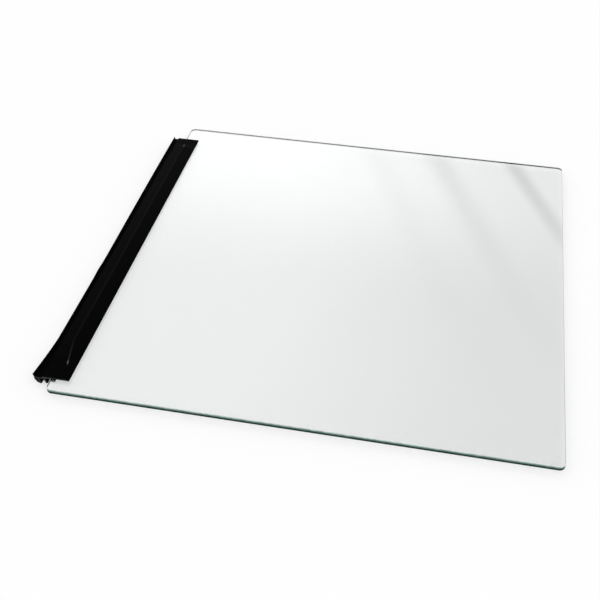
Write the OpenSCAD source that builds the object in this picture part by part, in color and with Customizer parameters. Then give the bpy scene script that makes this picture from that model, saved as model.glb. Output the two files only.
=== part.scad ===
// Glass shelf for a refrigerator: a toughened pane with rounded corners and a
// soft black edge seal that grips its left side. Units are millimetres, +Z is up,
// and the front edge of the pane faces -Y. The origin is at the middle of the
// base of the whole part's box. The seal is drawn from the pane's front left top
// corner, so its X and Z are 0 at the edge of the glass, and what lies beside or
// under the glass is negative.

/* [Pane] */
// Width of the pane, from the seal's side to the free side
pane_w = 490; // [300:1:600]
// Depth of the pane, from front to back
pane_d = 507; // [490:1:600]
// Thickness of the glass
glass_t = 5; // [4:0.5:6]
// Radius of the pane's four corners
corner_r = 6; // [4:0.5:20]
// Width of the ground arris along the pane's upper and lower edges
arris = 0.6; // [0.2:0.1:1]

/* [Seal length] */
// Bare glass in front of the seal
seal_front = 14.5; // [10:0.5:20]
// Length of the seal
seal_len = 462.5; // [260:0.5:470]

/* [Seal grip] */
// Width of the flange that lies on the glass, with its overhang
flange_w = 28; // [27:0.5:28.5]
// Reach of that flange over the glass, at the middle of its length
flange_reach = 18.4; // [18:0.1:19]
// Sideways drift of the flange from its middle to either end
flange_drift = 0.75; // [0:0.05:1]
// Thickness of the flange
flange_t = 1.2; // [0.8:0.1:1.6]
// Size of the small slopes along the flanges' free edges
edge_slope = 0.6; // [0.2:0.1:0.7]
// Thickness of the web that stands against the edge of the glass
web_t = 1.5; // [1:0.1:2]
// Reach of the lower flange under the glass
lower_reach = 4.5; // [3:0.5:8]
// Thickness of the lower flange
lower_t = 1.5; // [1:0.1:2]
// Depth of the foot below the lower flange
foot_drop = 0.7; // [0.4:0.1:1]

/* [Crease] */
// Height of the crease above the rest of the flange
crease_h = 0.9; // [0.2:0.1:1.2]
// Distance of the crease from the edge of the glass
crease_x = 2.6; // [1:0.1:5]
// Half of the width of the crease's top
crease_half = 1.2; // [0.8:0.1:1.6]
// Flat stretch between the seal's front end and the crease
crease_from = 21; // [10:1:40]
// Flat stretch between the crease and the seal's back end
crease_rest = 14.5; // [10:0.5:40]
// Length in which the crease rises from the flat
crease_rise = 8; // [4:1:15]
// Distance from the seal's front end at which the crease stops slanting
crease_slant = 56; // [45:1:90]
// How far the slant takes the crease sideways
crease_slant_x = 6.7; // [0:0.1:8]

/* [Seal lip] */
// Outer radius of the hollow bulb
bulb_r = 8; // [7.7:0.1:8.5]
// Distance of the bulb's centre from the glass while the lip is closed
bulb_x = 6.6; // [6.2:0.1:7.2]
// Depth of the bulb's centre below the top of the glass
bulb_z = 0.8; // [0.4:0.1:1]
// Thickness of the bulb's outer wall
bulb_wall = 0.9; // [0.6:0.1:1.2]
// Thickness of the bulb's inner wall, beside the slot
inner_wall = 2; // [1.2:0.1:2]
// Depth of the floor between the flange and the fin
floor_z = 0.5; // [0.3:0.1:0.8]
// Depth of the roof of the slot between the bulb and the chamber
slot_z = 1.7; // [1.6:0.1:2.2]
// Thickness of the fin
fin_t = 0.7; // [0.5:0.1:1]
// Height of the fin above the top of the glass while the lip is closed
fin_h = 2.2; // [1.4:0.1:3]

/* [Lip opening] */
// Outward travel of the lip where it stands fully open
lip_travel = 2.3; // [0:0.1:2.6]
// Opening at the front end, where 1 is fully open
front_open = 1.12; // [0:0.02:1.2]
// Length over which the lip opens towards the front end
front_run = 60; // [30:1:90]
// Opening at the back end
back_open = 0.5; // [0:0.05:0.8]
// Length over which the lip opens towards the back end
back_run = 277; // [150:1:300]
// Opening of a short wave in the lip
wave_open = 0.14; // [0:0.02:0.3]
// Distance of that wave from the seal's front end
wave_at = 171; // [100:1:230]
// Half of the wave's length
wave_half = 12; // [10:1:30]

/* [Hidden] */

// Steps of the pane's corners, of the bulb's outer wall and of its hollow
corner_steps = 96;
bulb_steps = 9;
hollow_steps = 6;

// Turns where the bulb's outer wall and its hollow begin and end
bulb_turn = [168, 255];
hollow_turn = [188, 243];

// Heights of the lower flange's underside, of the foot and of the bulb's lowest point
lower_z = -glass_t - lower_t;
foot_z = lower_z - foot_drop;
low_z = -bulb_z + bulb_r * sin(bulb_turn[1]);

// Slot: X of its outer face from the bulb's centre and of its inner face from the
// glass, each at the foot and at the roof
slot_outer = [-0.9, -2.9];
slot_inner = [-5.7, -7.5];

// Chamber: height of its roof, and the thickness of its outer wall and of its floor
chamber_z = -1;
chamber_wall = 1.8;
chamber_floor = 1.1;

// Slope beside the crease's top, the rib on the lip's floor and the fin's lean and
// growth as the lip opens
crease_fall = 0.15;
rib = 0.4;
rib_from = 1.1;
fin_foot = 0.978;
fin_lean = 0.8;
fin_turn = -1.9;
fin_growth = 0.5;
fin_round = 0.2;

// Power of the opening towards the front end
front_power = 1.4;

// Places along the seal where its section is drawn: close together at the front
// and where the crease ends
front_step = 5;
front_end = 65;
middle_from = 85;
middle_step = 30;
crease_to = seal_len - crease_rest;
stations = concat(
    [for (d = [0:front_step:front_end]) d],
    [for (d = [middle_from:middle_step:crease_to - crease_rise - front_step]) d],
    [for (i = [2:-1:0]) crease_to - i * crease_rise / 2],
    [seal_len]
);

// Opening of the lip at a distance from the seal's front end
function front_part(d) = front_open * pow(max(0, 1 - d / front_run), front_power);
function back_part(d) = back_open * sin(90 * max(0, 1 - (seal_len - d) / back_run));
function wave_part(d) = wave_open * exp(-pow((d - wave_at) / wave_half, 2));
function open(d) = front_part(d) + back_part(d) + wave_part(d);

// X of the bulb, of the flange's two edges and of the crease at that distance
function bulb_at(d) = -bulb_x - lip_travel * open(d);
function drift(d) = flange_drift * (1 - 2 * d / seal_len);
function reach(d) = flange_reach + drift(d);
function shoulder(d) = reach(d) - flange_w;
function slant(d) = max(0, min(1, (crease_slant - d) / (crease_slant - crease_from)));
function crease_at(d) = crease_x + crease_slant_x * slant(d);
function rise(d) = max(0, min(1, (d - crease_from) / crease_rise, (crease_to - d) / crease_rise));

function arc_point(x, r, turn) = [x + r * cos(turn), -bulb_z + r * sin(turn)];
function arc_points(x, r, turns, steps) =
    [for (i = [0:steps]) arc_point(x, r, turns[0] + (turns[1] - turns[0]) * i / steps)];

// The section's outline as seen from the front, anticlockwise, in four stretches.
// Outer wall of the bulb, from the foot of the fin down to its lowest point
function bulb_side(d) = arc_points(bulb_at(d), bulb_r, bulb_turn, bulb_steps);

// Rounded tip of the bulb, then the slot's outer face, roof and inner face
function slot_side(d) =
    let (x = bulb_at(d))
    [
        [x - 1.2, low_z + 0.2], [x - 0.8, low_z + 0.8],
        [x + slot_outer[0], low_z + 1.5], [x + slot_outer[1], -slot_z],
        [slot_inner[1], -slot_z], [slot_inner[0], foot_z + 0.2], [slot_inner[0] + 0.3, foot_z]
    ];

// Foot, lower flange, the grip on the glass and the upper flange with its crease
function grip_side(d) =
    let (r = reach(d), x = crease_at(d), h = crease_h * rise(d))
    [
        [-4.3, foot_z], [-4.3 + foot_drop, lower_z],
        [lower_reach - edge_slope, lower_z], [lower_reach, lower_z + edge_slope],
        [lower_reach, -glass_t], [0, -glass_t], [0, 0], [r, 0],
        [r, flange_t - edge_slope], [r - edge_slope, flange_t],
        [x + crease_half, flange_t + h * (1 - crease_fall)],
        [x, flange_t + h],
        [x - crease_half, flange_t + h * (1 - crease_fall)]
    ];

// Shoulder of the flange, the lip's floor with its rib, and the fin
function lip_side(d) =
    let (
        s = shoulder(d),
        foot = bulb_at(d) - bulb_r * fin_foot,
        lean = fin_lean + fin_turn * open(d),
        top = fin_h + fin_growth * open(d)
    )
    [
        [s + edge_slope, flange_t], [s, flange_t - edge_slope], [s, -floor_z],
        [s - rib_from, -floor_z], [s - rib_from - rib, rib - floor_z],
        [s - rib_from - 2 * rib, -floor_z],
        [foot + 2 * fin_t, -floor_z], [foot + fin_t, fin_t - 0.3],
        [foot + fin_t + lean, top - fin_round], [foot + fin_t / 2 + lean, top],
        [foot + lean, top - fin_round]
    ];

function outline(d) = concat(bulb_side(d), slot_side(d), grip_side(d), lip_side(d));

// The bulb's hollow: down along its outer wall and up along its inner wall
function hollow(d) =
    let (x = bulb_at(d) - inner_wall)
    concat(
        arc_points(bulb_at(d), bulb_r - bulb_wall, hollow_turn, hollow_steps),
        [
            [x + slot_outer[0], low_z + 1.8], [x + slot_outer[1], -slot_z - 0.2],
            [x + slot_outer[1] - 0.7, -slot_z]
        ]
    );

// The chamber beside the glass: down along its outer wall, up along the web
chamber = [
    [slot_inner[1] + chamber_wall, chamber_z - 0.3],
    [slot_inner[0] + chamber_wall - 0.2, foot_z + chamber_floor + 0.2],
    [slot_inner[0] + chamber_wall + 0.2, foot_z + chamber_floor],
    [-web_t, lower_z + 0.9], [-web_t, chamber_z],
    [slot_inner[1] + chamber_wall + 0.3, chamber_z]
];

// Numbers of the points where the section's end faces are divided
tip_point = bulb_steps;
foot_point = bulb_steps + 1 + len(slot_side(0));
shoulder_point = foot_point + len(grip_side(0));
outline_points = shoulder_point + len(lip_side(0));
hollow_points = len(hollow(0));
chamber_points = len(chamber);
rings = len(stations);

// First point of each loop in the list of all points
hollow_first = outline_points * rings;
chamber_first = hollow_first + hollow_points * rings;

function place(points, d) = [for (p = points) [p[0], d, p[1]]];
seal_points = concat(
    [for (d = stations) each place(outline(d), d)],
    [for (d = stations) each place(hollow(d), d)],
    [for (d = stations) each place(chamber, d)]
);

// Skin between neighbouring rings of one loop
function skin(first, count) = [
    for (k = [0:rings - 2]) for (i = [0:count - 1])
        let (j = (i + 1) % count, a = first + k * count, b = a + count)
        each [[a + i, a + j, b + j], [a + i, b + j, b + i]]
];
function turned(faces) = [for (f = faces) [for (i = [len(f) - 1:-1:0]) f[i]]];

// Triangles of a flat loop of points, by cutting off one free corner at a time
function side(a, b, c) = (b[0] - a[0]) * (c[2] - a[2]) - (b[2] - a[2]) * (c[0] - a[0]);
function holds(a, b, c, p) = side(a, b, p) >= 0 && side(b, c, p) >= 0 && side(c, a, p) >= 0;
function is_free(loop, i) =
    let (
        n = len(loop),
        corner = [loop[(i + n - 1) % n], loop[i], loop[(i + 1) % n]],
        a = seal_points[corner[0]], b = seal_points[corner[1]], c = seal_points[corner[2]]
    )
    side(a, b, c) > 0 &&
    len([for (j = loop) if (j != corner[0] && j != corner[1] && j != corner[2]
        && holds(a, b, c, seal_points[j])) j]) == 0;
function first_free(loop, i = 0) = is_free(loop, i) ? i : first_free(loop, i + 1);
function triangles(loop) =
    len(loop) == 3 ? [loop] :
    let (n = len(loop), i = first_free(loop))
    concat(
        [[loop[(i + n - 1) % n], loop[i], loop[(i + 1) % n]]],
        triangles([for (k = [0:n - 1]) if (k != i) loop[k]])
    );

// End face at one ring, in three pieces that meet across the two hollows
function span(first, from, to) = [for (i = [from:(to < from ? -1 : 1):to]) first + i];
function end_faces(ring) =
    let (
        o = outline_points * ring,
        h = hollow_first + hollow_points * ring,
        c = chamber_first + chamber_points * ring
    )
    concat(
        triangles(concat(span(o, 0, tip_point), span(h, hollow_steps, 0))),
        triangles(concat(
            span(o, tip_point, foot_point), span(c, 1, 0),
            span(o, shoulder_point, outline_points - 1), [o],
            [h], span(h, hollow_points - 1, hollow_steps)
        )),
        triangles(concat(
            span(o, foot_point, shoulder_point), [c],
            span(c, chamber_points - 1, 1)
        ))
    );

seal_faces = concat(
    skin(0, outline_points),
    turned(skin(hollow_first, hollow_points)),
    turned(skin(chamber_first, chamber_points)),
    turned(end_faces(0)),
    end_faces(rings - 1)
);

// Place of the pane's front left top corner, from the box of the whole part
seal_left = min([for (p = seal_points) p[0]]);
seal_bottom = min([for (p = seal_points) p[2]]);
pane_x = -(pane_w + seal_left) / 2;
pane_y = -pane_d / 2;
pane_top = -seal_bottom;

// Half of the pane's section at an edge, from the middle plane out to the edge
function edge_profile(half) = [
    [0, 0], [half - arris, 0], [half, arris],
    [half, glass_t - arris], [half - arris, glass_t], [0, glass_t]
];

module pane_bar(length, width) {
    rotate([90, 0, 0])
        linear_extrude(length, center = true)
            union() {
                polygon(edge_profile(width / 2));
                mirror([1, 0]) polygon(edge_profile(width / 2));
            }
}

// Toughened glass: two crossed bars with arrised edges and four turned corners
module glass_pane() {
    color([0.74, 0.86, 0.82, 0.45])
        translate([pane_x + pane_w / 2, 0, pane_top - glass_t])
            union() {
                pane_bar(pane_d - 2 * corner_r, pane_w);
                rotate([0, 0, 90]) pane_bar(pane_w - 2 * corner_r, pane_d);
                for (x = [-1, 1]) for (y = [-1, 1])
                    translate([x * (pane_w / 2 - corner_r), y * (pane_d / 2 - corner_r), 0])
                        rotate_extrude($fn = corner_steps) polygon(edge_profile(corner_r));
            }
}

// Extruded seal: grip, chamber, slot, hollow bulb and fin in one piece
module edge_seal() {
    color([0.06, 0.06, 0.065])
        translate([pane_x, pane_y + seal_front, pane_top])
            polyhedron(seal_points, seal_faces);
}

glass_pane();
edge_seal();
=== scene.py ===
"""Glass shelf: a toughened pane and a soft black seal along its left edge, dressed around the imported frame."""

import math

import bpy
import numpy as np
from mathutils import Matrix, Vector


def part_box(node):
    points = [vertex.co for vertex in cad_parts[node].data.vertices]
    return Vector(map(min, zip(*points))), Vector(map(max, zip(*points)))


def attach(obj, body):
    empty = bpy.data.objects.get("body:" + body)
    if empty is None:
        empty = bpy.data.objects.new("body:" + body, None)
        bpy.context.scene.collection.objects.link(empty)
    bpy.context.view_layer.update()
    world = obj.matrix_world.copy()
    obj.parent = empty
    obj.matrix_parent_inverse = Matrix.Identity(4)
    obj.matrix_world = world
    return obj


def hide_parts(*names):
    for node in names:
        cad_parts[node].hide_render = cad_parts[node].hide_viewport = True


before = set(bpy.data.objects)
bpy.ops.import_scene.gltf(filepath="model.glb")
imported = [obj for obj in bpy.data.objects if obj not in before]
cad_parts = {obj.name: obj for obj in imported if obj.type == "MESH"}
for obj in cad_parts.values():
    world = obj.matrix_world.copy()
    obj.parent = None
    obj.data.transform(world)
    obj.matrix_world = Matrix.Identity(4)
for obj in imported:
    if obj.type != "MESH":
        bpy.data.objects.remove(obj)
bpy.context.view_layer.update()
scene = bpy.context.scene

# Everything is worked out in millimetres and written to meshes in metres
MM = 0.001

# The pane's place and size come from the frame
pane_low, pane_high = (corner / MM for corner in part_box("glass_pane"))
pane_size = pane_high - pane_low
glass_t = pane_size.z
corner_r = 6.0
corner_steps = 12
upper_arris = 0.6
lower_arris = 0.3
arris_steps = 3

# The seal's section is drawn from the pane's front left top corner
seal_low, seal_high = (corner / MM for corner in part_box("edge_seal"))
seal_origin = Vector((pane_low.x, seal_low.y, pane_high.z))
seal_len = seal_high.y - seal_low.y

# Grip of the seal
flange_w = 28.0
flange_reach = 18.4
flange_drift = 0.75
flange_t = 1.2
edge_slope = 0.6
web_t = 1.5
lower_reach = 4.5
lower_t = 1.5
foot_drop = 0.7

# Crease along the upper flange
crease_h = 0.9
crease_x = 2.6
crease_half = 1.2
crease_from = 21.0
crease_to = seal_len - 14.5
crease_rise = 8.0
crease_slant = 56.0
crease_slant_x = 6.7
crease_fall = 0.15

# Painted highlight along the crease, with painted glints at its two ends
painted_highlight_half = 0.55
line_painted_highlight = 0.045
slant_painted_highlight = 0.12
end_painted_glint = 1.0
end_half = 1.7
end_in = 3.0

# Lip: bulb, slot, floor with its rib, and fin
bulb_r = 8.0
bulb_x = 6.6
bulb_z = 0.8
bulb_wall = 0.9
inner_wall = 2.0
floor_z = 0.5
slot_z = 1.7
slot_outer = (-0.9, -2.9)
slot_inner = (-5.7, -7.5)
rib = 0.4
rib_from = 1.1
fin_t = 0.7
fin_h = 2.2
fin_foot = 0.978
fin_lean = 0.8
fin_turn = -1.9
fin_growth = 0.5
fin_round = 0.2
bulb_turn = (168.0, 255.0)
hollow_turn = (188.0, 243.0)
bulb_steps = 28
hollow_steps = 18
lower_z = -glass_t - lower_t
foot_z = lower_z - foot_drop
low_z = -bulb_z + bulb_r * math.sin(math.radians(bulb_turn[1]))

# Chamber beside the glass
chamber_z = -1.0
chamber_wall = 1.8
chamber_floor = 1.1

# Opening of the lip along the seal
lip_travel = 2.3
front_open = 1.12
front_run = 60.0
front_power = 1.4
back_open = 0.5
back_run = 277.0
wave_open = 0.14
wave_at = 171.0
wave_half = 12.0


def clamp(value, low=0.0, high=1.0):
    return max(low, min(high, value))


def deselect():
    if bpy.context.object and bpy.context.object.mode != "OBJECT":
        bpy.ops.object.mode_set(mode="OBJECT")
    bpy.ops.object.select_all(action="DESELECT")


def linear(hex_colour):
    """An sRGB hex colour as linear red, green, blue and 1."""
    parts = [int(hex_colour[i:i + 2], 16) / 255 for i in (1, 3, 5)]
    return [p / 12.92 if p <= 0.04045 else ((p + 0.055) / 1.055) ** 2.4 for p in parts] + [1.0]


def add(tree, kind, settings=None, links=None, **attributes):
    """Adds a node: its attributes, its sockets' values and the sockets that feed it."""
    made = tree.nodes.new(kind)
    for name, value in attributes.items():
        setattr(made, name, value)
    for name, value in (settings or {}).items():
        made.inputs[name].default_value = value
    for name, source in (links or {}).items():
        tree.links.new(source, made.inputs[name])
    return made


def set_stops(ramp, stops):
    """Gives a colour ramp its stops, each a place and a colour."""
    for spot, _ in stops[2:]:
        ramp.elements.new(spot)
    for element, (spot, colour) in zip(ramp.elements, stops):
        element.position = spot
        element.color = colour


def material(name):
    """A new material with an empty tree and its output node."""
    made = bpy.data.materials.new(name)
    made.use_nodes = True
    made.node_tree.nodes.clear()
    return made, made.node_tree, made.node_tree.nodes.new("ShaderNodeOutputMaterial")


# Toughened float glass with polished rims: clear through its thickness, dark green where a long way is seen through
glass, tree, out = material("toughened_float_glass_polished")
surface = add(tree, "ShaderNodeBsdfPrincipled", {
    "Base Color": linear("#FFFFFF"),
    "Roughness": 0.0,
    "IOR": 1.52,
    "Transmission Weight": 1.0,
})
inside = add(tree, "ShaderNodeVolumeAbsorption", {"Color": linear("#9AC0B8"), "Density": 10.0})
tree.links.new(surface.outputs["BSDF"], out.inputs["Surface"])
tree.links.new(inside.outputs["Volume"], out.inputs["Volume"])

# Ground and polished edge of float glass: its arris is frosted and pale, and below it the colour is painted darker
# down to dark green, painted shade for the shadow under the edge and the dark look through the glass's length
edge_tones_painted_shade = ((0.00, "#0A1A16"), (0.20, "#0F221D"), (0.40, "#2A473F"), (0.60, "#5A756B"), (0.80, "#93A69E"),
              (0.93, "#CAD4CF"), (1.00, "#DDE4E0"))
ground_edge_painted_shade, tree, out = material("float_glass_edge_ground_painted_shade")
place = add(tree, "ShaderNodeTexCoord")
axis = add(tree, "ShaderNodeSeparateXYZ", None, {"Vector": place.outputs["Object"]})
scratches = add(tree, "ShaderNodeTexNoise", {"Scale": 220.0, "Detail": 2.0}, {"Vector": place.outputs["Object"]})
uneven = add(tree, "ShaderNodeMapRange",
             {"From Min": 0.3, "From Max": 0.7, "To Min": -0.25 * MM, "To Max": 0.25 * MM},
             {"Value": scratches.outputs["Fac"]})
level = add(tree, "ShaderNodeMath", None, {0: axis.outputs["Z"], 1: uneven.outputs[0]}, operation="ADD")
height = add(tree, "ShaderNodeMapRange", {"From Min": pane_low.z * MM, "From Max": pane_high.z * MM},
             {"Value": level.outputs[0]})
# Pale frosted arris at the top, then painted shade: darker towards the bottom of the edge
tone = add(tree, "ShaderNodeValToRGB", None, {"Fac": height.outputs[0]})
set_stops(tone.color_ramp, [(spot, linear(colour)) for spot, colour in edge_tones_painted_shade])
surface = add(tree, "ShaderNodeBsdfPrincipled", {
    "Roughness": 0.3,
    "IOR": 1.52,
    "Specular IOR Level": 0.03,
}, {"Base Color": tone.outputs["Color"]})
tree.links.new(surface.outputs["BSDF"], out.inputs["Surface"])

# Soft PVC, extruded: near black with a low satin sheen and faint die lines along its length
pvc, tree, out = material("soft_pvc_extruded_black")
place = add(tree, "ShaderNodeTexCoord")
lines = add(tree, "ShaderNodeMapping", {"Scale": (900.0, 12.0, 900.0)},
            {"Vector": place.outputs["Object"]})
grain = add(tree, "ShaderNodeTexNoise", {"Scale": 1.0, "Detail": 2.0},
            {"Vector": lines.outputs["Vector"]})
bump = add(tree, "ShaderNodeBump", {"Strength": 0.15, "Distance": 0.05 * MM},
           {"Height": grain.outputs["Fac"]})
# Painted highlight: pale grey is mixed in along the crease and at its two ends, where light catches the bend
crease_highlight_attr = add(tree, "ShaderNodeAttribute", attribute_name="crease_painted_highlight")
tone = add(tree, "ShaderNodeMix", {"A": linear("#040404"), "B": linear("#6A6A6C")}, {0: crease_highlight_attr.outputs["Fac"]},
           data_type="RGBA")
surface = add(tree, "ShaderNodeBsdfPrincipled", {
    "Roughness": 0.35,
    "Specular IOR Level": 0.004,
}, {"Base Color": tone.outputs["Result"], "Normal": bump.outputs["Normal"]})
tree.links.new(surface.outputs["BSDF"], out.inputs["Surface"])

# The same PVC where the length was sawn off: matt, paler and finely scored
cut_pvc, tree, out = material("soft_pvc_sawn_end")
place = add(tree, "ShaderNodeTexCoord")
grain = add(tree, "ShaderNodeTexNoise", {"Scale": 1500.0, "Detail": 3.0},
            {"Vector": place.outputs["Object"]})
tone = add(tree, "ShaderNodeValToRGB", None, {"Fac": grain.outputs["Fac"]})
set_stops(tone.color_ramp, [(0.0, linear("#1A1A1B")), (1.0, linear("#3C3C3E"))])
surface = add(tree, "ShaderNodeBsdfPrincipled", {"Roughness": 0.8, "Specular IOR Level": 0.2},
              {"Base Color": tone.outputs["Color"]})
tree.links.new(surface.outputs["BSDF"], out.inputs["Surface"])


def pick_edges(mesh_object, test):
    """Selects the edges, in edit mode, whose two ends pass the test."""
    bpy.ops.mesh.select_mode(type="EDGE")
    bpy.ops.mesh.select_all(action="DESELECT")
    bpy.ops.object.mode_set(mode="OBJECT")
    mesh = mesh_object.data
    for edge in mesh.edges:
        a, b = (mesh.vertices[i].co / MM for i in edge.vertices)
        edge.select = test(a, b)
    bpy.ops.object.mode_set(mode="EDIT")


def build_pane():
    """The pane: a block with four rounded corners and a ground arris round its upper and lower edges."""
    deselect()
    middle = (pane_low + pane_high) / 2 * MM
    bpy.ops.mesh.primitive_cube_add(size=1, location=middle)
    pane = bpy.context.object
    pane.name = "pane"
    pane.scale = pane_size * MM
    bpy.ops.object.transform_apply(location=True, rotation=True, scale=True)
    bpy.ops.object.mode_set(mode="EDIT")
    pick_edges(pane, lambda a, b: abs(a.z - b.z) > glass_t / 2)
    bpy.ops.mesh.bevel(offset=corner_r * MM, segments=corner_steps, affect="EDGES")
    for height, arris in ((pane_high.z, upper_arris), (pane_low.z, lower_arris)):
        pick_edges(pane, lambda a, b: max(abs(a.z - height), abs(b.z - height)) < 0.01)
        bpy.ops.mesh.bevel(offset=arris * MM, segments=arris_steps, affect="EDGES")
    bpy.ops.object.mode_set(mode="OBJECT")
    pane.data.materials.append(glass)
    pane.data.materials.append(ground_edge_painted_shade)
    for face in pane.data.polygons:
        face.material_index = int(abs(face.normal.z) < 0.999)
    bpy.ops.object.shade_smooth()
    even = pane.modifiers.new("flat_faces_stay_flat", "WEIGHTED_NORMAL")
    even.weight = 100
    bpy.ops.object.modifier_apply(modifier=even.name)
    return pane


def opening(d):
    """How far the lip stands open at a distance from the seal's front end."""
    front = front_open * max(0.0, 1 - d / front_run) ** front_power
    back = back_open * math.sin(math.radians(90 * max(0.0, 1 - (seal_len - d) / back_run)))
    return front + back + wave_open * math.exp(-(((d - wave_at) / wave_half) ** 2))


def bulb_at(d):
    return -bulb_x - lip_travel * opening(d)


def reach(d):
    return flange_reach + flange_drift * (1 - 2 * d / seal_len)


def crease_at(d):
    return crease_x + crease_slant_x * clamp((crease_slant - d) / (crease_slant - crease_from))


def crease_height(d):
    return crease_h * clamp(min((d - crease_from) / crease_rise, (crease_to - d) / crease_rise))


def arc(x, r, turns, steps):
    """Sharp points along an arc round the bulb's centre."""
    angles = [math.radians(turns[0] + (turns[1] - turns[0]) * i / steps) for i in range(steps + 1)]
    return [(x + r * math.cos(a), -bulb_z + r * math.sin(a), 0.0) for a in angles]


def outline(d):
    """The section's outline, anticlockwise from the front: x, z and how far each corner is cut back to round it."""
    x = bulb_at(d)
    r = reach(d)
    s = r - flange_w
    c = crease_at(d)
    h = crease_height(d)
    foot = x - bulb_r * fin_foot
    lean = fin_lean + fin_turn * opening(d)
    top = fin_h + fin_growth * opening(d)
    slope = edge_slope
    return arc(x, bulb_r, bulb_turn, bulb_steps) + [
        (x - 1.2, low_z + 0.2, 0.3), (x - 0.8, low_z + 0.8, 0.3), (x + slot_outer[0], low_z + 1.5, 0.3),
        (x + slot_outer[1], -slot_z, 0.4), (slot_inner[1], -slot_z, 0.4),
        (slot_inner[0], foot_z + 0.2, 0.15), (slot_inner[0] + 0.3, foot_z, 0.15),
        (-4.3, foot_z, 0.3), (-4.3 + foot_drop, lower_z, 0.3),
        (lower_reach - slope, lower_z, 0.4), (lower_reach, lower_z + slope, 0.4),
        (lower_reach, -glass_t, 0.0), (0.0, -glass_t, 0.0), (0.0, 0.0, 0.0), (r, 0.0, 0.0),
        (r, flange_t - slope, 0.4), (r - slope, flange_t, 0.4),
        (c + crease_half, flange_t + h * (1 - crease_fall), 0.8), (c, flange_t + h, 0.8),
        (c - crease_half, flange_t + h * (1 - crease_fall), 0.8),
        (s + slope, flange_t, 0.4), (s, flange_t - slope, 0.4), (s, -floor_z, 0.2),
        (s - rib_from, -floor_z, 0.15), (s - rib_from - rib, rib - floor_z, 0.2),
        (s - rib_from - 2 * rib, -floor_z, 0.15),
        (foot + 2 * fin_t, -floor_z, 0.4), (foot + fin_t, fin_t - 0.3, 0.4),
        (foot + fin_t + lean, top - fin_round, 0.2), (foot + fin_t / 2 + lean, top, 0.2),
        (foot + lean, top - fin_round, 0.2),
    ]


def hollow(d):
    """The bulb's hollow in the same form."""
    x = bulb_at(d) - inner_wall
    return arc(bulb_at(d), bulb_r - bulb_wall, hollow_turn, hollow_steps) + [
        (x + slot_outer[0], low_z + 1.8, 0.4), (x + slot_outer[1], -slot_z - 0.2, 0.3),
        (x + slot_outer[1] - 0.7, -slot_z, 0.2),
    ]


def chamber(d):
    """The chamber between the slot and the glass in the same form; it is the same along the whole length."""
    return [
        (slot_inner[1] + chamber_wall, chamber_z - 0.3, 0.1),
        (slot_inner[0] + chamber_wall - 0.2, foot_z + chamber_floor + 0.2, 0.15),
        (slot_inner[0] + chamber_wall + 0.2, foot_z + chamber_floor, 0.15),
        (-web_t, lower_z + 0.9, 0.3), (-web_t, chamber_z, 0.3),
        (slot_inner[1] + chamber_wall + 0.3, chamber_z, 0.1),
    ]


def rounded(corners, steps=4):
    """The points of a loop with its corners rounded by a short curve each."""
    points = []
    count = len(corners)
    for i, (x, z, cut) in enumerate(corners):
        here = np.array((x, z))
        if not cut:
            points.append(here)
            continue
        before = np.array(corners[i - 1][:2]) - here
        after = np.array(corners[(i + 1) % count][:2]) - here
        size_before, size_after = np.linalg.norm(before), np.linalg.norm(after)
        start = here + before / size_before * min(cut, 0.45 * size_before)
        end = here + after / size_after * min(cut, 0.45 * size_after)
        for k in range(steps + 1):
            t = k / steps
            points.append((1 - t) ** 2 * start + 2 * t * (1 - t) * here + t * t * end)
    return np.array(points)


# Distances from the seal's front end at which its section is drawn
stations = np.unique(np.round(np.concatenate([
    np.arange(0, 80, 2.0),
    np.arange(80, crease_to - 20, 4.0),
    np.arange(crease_to - 20, seal_len, 1.5),
    [seal_len],
]), 3))


def tube(name, section):
    """An open tube through a section's loop at each station, bent up from a flat grid."""
    loops = [rounded(section(d)) for d in stations]
    around, rings = len(loops[0]), len(stations)
    deselect()
    bpy.ops.mesh.primitive_grid_add(x_subdivisions=around, y_subdivisions=rings - 1, size=2)
    made = bpy.context.object
    made.name = name
    flat = np.empty(len(made.data.vertices) * 3)
    made.data.vertices.foreach_get("co", flat)
    flat = flat.reshape(-1, 3)
    column = np.rint((flat[:, 0] + 1) / 2 * around).astype(int) % around
    ring = np.rint((flat[:, 1] + 1) / 2 * (rings - 1)).astype(int)
    section_points = np.array(loops)[ring, column]
    place = np.stack([section_points[:, 0], stations[ring], section_points[:, 1]], 1)
    place = (place + np.array(seal_origin)) * MM
    made.data.vertices.foreach_set("co", place.ravel())
    made.data.update()
    bpy.ops.object.mode_set(mode="EDIT")
    bpy.ops.mesh.select_all(action="SELECT")
    bpy.ops.mesh.remove_doubles(threshold=1e-6)
    bpy.ops.object.mode_set(mode="OBJECT")
    return made


def crease_painted_highlight(point):
    """How much painted highlight the crease gets: a faint line along it, more on its front slant, and painted
    glints at its two ends.
    """
    if point.z < flange_t + 0.05:
        return 0.0
    d = point.y
    line = math.exp(-(((point.x - crease_at(d)) / painted_highlight_half) ** 2))
    ends = sum(math.exp(-(((d - end) / end_half) ** 2)) for end in (crease_from + end_in, crease_to - end_in))
    front = slant_painted_highlight * clamp((crease_slant - d) / (crease_slant - crease_from))
    return clamp(line * (line_painted_highlight + front + end_painted_glint * ends))


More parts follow.
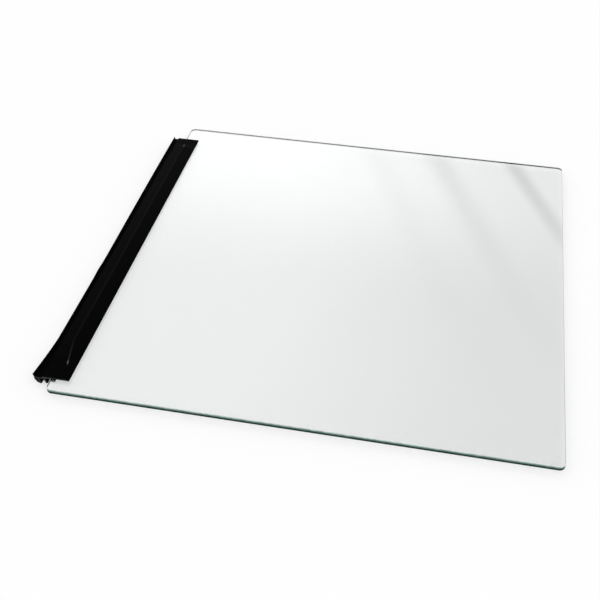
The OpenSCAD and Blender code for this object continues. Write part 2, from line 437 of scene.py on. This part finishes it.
def build_seal():
    """The seal: three tubes joined by flat sawn ends."""
    parts = [tube("seal", outline), tube("seal_hollow", hollow), tube("seal_chamber", chamber)]
    deselect()
    for part in parts:
        part.select_set(True)
    bpy.context.view_layer.objects.active = parts[0]
    bpy.ops.object.join()
    seal = bpy.context.object
    for end in (seal_low.y, seal_high.y):
        bpy.ops.object.mode_set(mode="EDIT")
        pick_edges(seal, lambda a, b: abs(a.y - end) < 0.01 and abs(b.y - end) < 0.01)
        bpy.ops.mesh.fill(use_beauty=True)
        bpy.ops.object.mode_set(mode="OBJECT")
    bpy.ops.object.mode_set(mode="EDIT")
    bpy.ops.mesh.select_all(action="SELECT")
    bpy.ops.mesh.normals_make_consistent(inside=False)
    bpy.ops.object.mode_set(mode="OBJECT")
    # Painted highlight stored per point for the PVC material
    painted_highlight_layer = seal.data.attributes.new("crease_painted_highlight", "FLOAT", "POINT")
    painted_highlight_layer.data.foreach_set("value", [crease_painted_highlight(vertex.co / MM - seal_origin) for vertex in seal.data.vertices])
    seal.data.materials.append(pvc)
    seal.data.materials.append(cut_pvc)
    for face in seal.data.polygons:
        face.material_index = int(abs(face.normal.y) > 0.999)
    bpy.ops.object.shade_smooth_by_angle(angle=math.radians(35))
    return seal


pane = build_pane()
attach(pane, "root")
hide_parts("glass_pane")

seal = build_seal()
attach(seal, "root")
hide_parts("edge_seal")

# Floor: a plain white sheet at the height of the seal's lowest point. To the eye, in mirrors and through
# glass it is mostly plain white, and the rest of it keeps the shelf's shadow.
deselect()
floor_size = 12.0
plain_share = 0.6
bpy.ops.mesh.primitive_plane_add(size=floor_size, location=(0, 0, 0))
floor = bpy.context.object
floor.name = "floor"
white_sheet, tree, out = material("matt_white_sheet")
path = add(tree, "ShaderNodeLightPath")
mirror_or_eye = add(tree, "ShaderNodeMath", None, {
    0: path.outputs["Is Camera Ray"],
    1: path.outputs["Is Glossy Ray"],
}, operation="MAXIMUM")
seen = add(tree, "ShaderNodeMath", None, {
    0: mirror_or_eye.outputs[0],
    1: path.outputs["Is Transmission Ray"],
}, operation="MAXIMUM")
share = add(tree, "ShaderNodeMath", {1: plain_share}, {0: seen.outputs[0]}, operation="MULTIPLY")
shaded = add(tree, "ShaderNodeBsdfDiffuse", {"Color": linear("#FDFDFD")})
plain = add(tree, "ShaderNodeEmission", {"Color": linear("#FFFFFF"), "Strength": 1.0})
both = add(tree, "ShaderNodeMixShader", None, {
    0: share.outputs[0],
    1: shaded.outputs["BSDF"],
    2: plain.outputs["Emission"],
})
tree.links.new(both.outputs["Shader"], out.inputs["Surface"])
floor.data.materials.append(white_sheet)

# World: an even white dome lights the shelf. What the glass mirrors is a studio: a large soft light above the
# far left, a dim right side, and the slanting shadows of its frame. Directions are taken on a level ceiling
# one unit above the shelf.
world = bpy.data.worlds.new("studio")
scene.world = world
world.use_nodes = True
tree = world.node_tree
tree.nodes.clear()
out = tree.nodes.new("ShaderNodeOutputWorld")
place = add(tree, "ShaderNodeTexCoord")
axis = add(tree, "ShaderNodeSeparateXYZ", None, {"Vector": place.outputs["Generated"]})
height = add(tree, "ShaderNodeMath", {1: 0.05}, {0: axis.outputs["Z"]}, operation="MAXIMUM")
across = add(tree, "ShaderNodeMath", None, {0: axis.outputs["X"], 1: height.outputs[0]}, operation="DIVIDE")
away = add(tree, "ShaderNodeMath", None, {0: axis.outputs["Y"], 1: height.outputs[0]}, operation="DIVIDE")

# Level of the walls from left to right, and the large light that is added to them far away
walls = add(tree, "ShaderNodeMapRange", {"From Min": -0.35, "From Max": 0.15, "To Min": 1.4, "To Max": 0.3},
            {"Value": across.outputs[0]}, interpolation_type="SMOOTHSTEP")
light = add(tree, "ShaderNodeMapRange", {"From Min": 1.2, "From Max": 1.58, "To Min": 0.0, "To Max": 0.85},
            {"Value": away.outputs[0]}, interpolation_type="SMOOTHSTEP")
light_end = add(tree, "ShaderNodeMapRange", {"From Min": -0.15, "From Max": 0.25, "To Min": 1.0, "To Max": 0.8},
                {"Value": across.outputs[0]}, interpolation_type="SMOOTHSTEP")
open_level = add(tree, "ShaderNodeMath", None, {
    0: light.outputs[0],
    1: light_end.outputs[0],
    2: walls.outputs[0],
}, operation="MULTIPLY_ADD")

# Shadows of the light's frame, as soft stripes along one slant: place and remaining light
stripe_slant = 0.4167
stripe_from = 0.30
stripe_to = 0.90
stripes = ((0.40, 1.0), (0.47, 1.0), (0.515, 0.86), (0.56, 1.0), (0.595, 1.0), (0.64, 0.55), (0.685, 1.0),
           (0.755, 1.0), (0.786, 0.0), (0.815, 1.0))
stripe_at = add(tree, "ShaderNodeMath", {1: stripe_slant}, {0: away.outputs[0], 2: across.outputs[0]},
                operation="MULTIPLY_ADD")
stripe_place = add(tree, "ShaderNodeMapRange", {"From Min": stripe_from, "From Max": stripe_to},
                   {"Value": stripe_at.outputs[0]})
shade = add(tree, "ShaderNodeValToRGB", None, {"Fac": stripe_place.outputs[0]})
shade.color_ramp.interpolation = "EASE"
set_stops(shade.color_ramp, [((spot - stripe_from) / (stripe_to - stripe_from), (left, left, left, 1.0))
                             for spot, left in stripes])
striped = add(tree, "ShaderNodeMath", None, {0: open_level.outputs[0], 1: shade.outputs["Color"]},
              operation="MULTIPLY")
fade = add(tree, "ShaderNodeMapRange", {"From Min": 0.95, "From Max": 1.25}, {"Value": away.outputs[0]},
           interpolation_type="SMOOTHSTEP")
mirror_level = add(tree, "ShaderNodeMix", None, {
    0: fade.outputs[0],
    2: open_level.outputs[0],
    3: striped.outputs[0],
}, data_type="FLOAT")

# Only what the eye sees mirrored shows the studio; light that has touched a matt surface comes from the dome
path = add(tree, "ShaderNodeLightPath")
direct = add(tree, "ShaderNodeMath", {1: 0.5}, {0: path.outputs["Diffuse Depth"]}, operation="LESS_THAN")
mirrored = add(tree, "ShaderNodeMath", None, {0: path.outputs["Is Glossy Ray"], 1: direct.outputs[0]},
               operation="MULTIPLY")
dome = add(tree, "ShaderNodeBackground", {"Color": linear("#FFFFFF"), "Strength": 1.0})
room = add(tree, "ShaderNodeBackground", {"Color": linear("#FFFFFF")},
           {"Strength": mirror_level.outputs[0]})
both = add(tree, "ShaderNodeMixShader", None, {
    0: mirrored.outputs[0],
    1: dome.outputs["Background"],
    2: room.outputs["Background"],
})
tree.links.new(both.outputs["Shader"], out.inputs["Surface"])

# A ray can be thrown up and down inside the pane many times before it leaves
scene.cycles.max_bounces = 64
scene.cycles.glossy_bounces = 64
scene.cycles.transmission_bounces = 64

# Camera at the photograph's place, turned by its pitch, roll and heading
camera_at = Vector((367.1, -603.3, 662.9))
camera_turn = (50.305, -0.283, 11.305)
camera_lens = 58.42
lens = bpy.data.cameras.new("camera")
lens.lens = camera_lens
lens.sensor_width = 36.0
lens.clip_end = 50.0
camera = bpy.data.objects.new("camera", lens)
camera.location = (Vector((pane_low.x, pane_low.y, pane_high.z)) + camera_at) * MM
camera.rotation_euler = [math.radians(a) for a in camera_turn]
scene.collection.objects.link(camera)
scene.camera = camera

scene.view_settings.view_transform = "Standard"
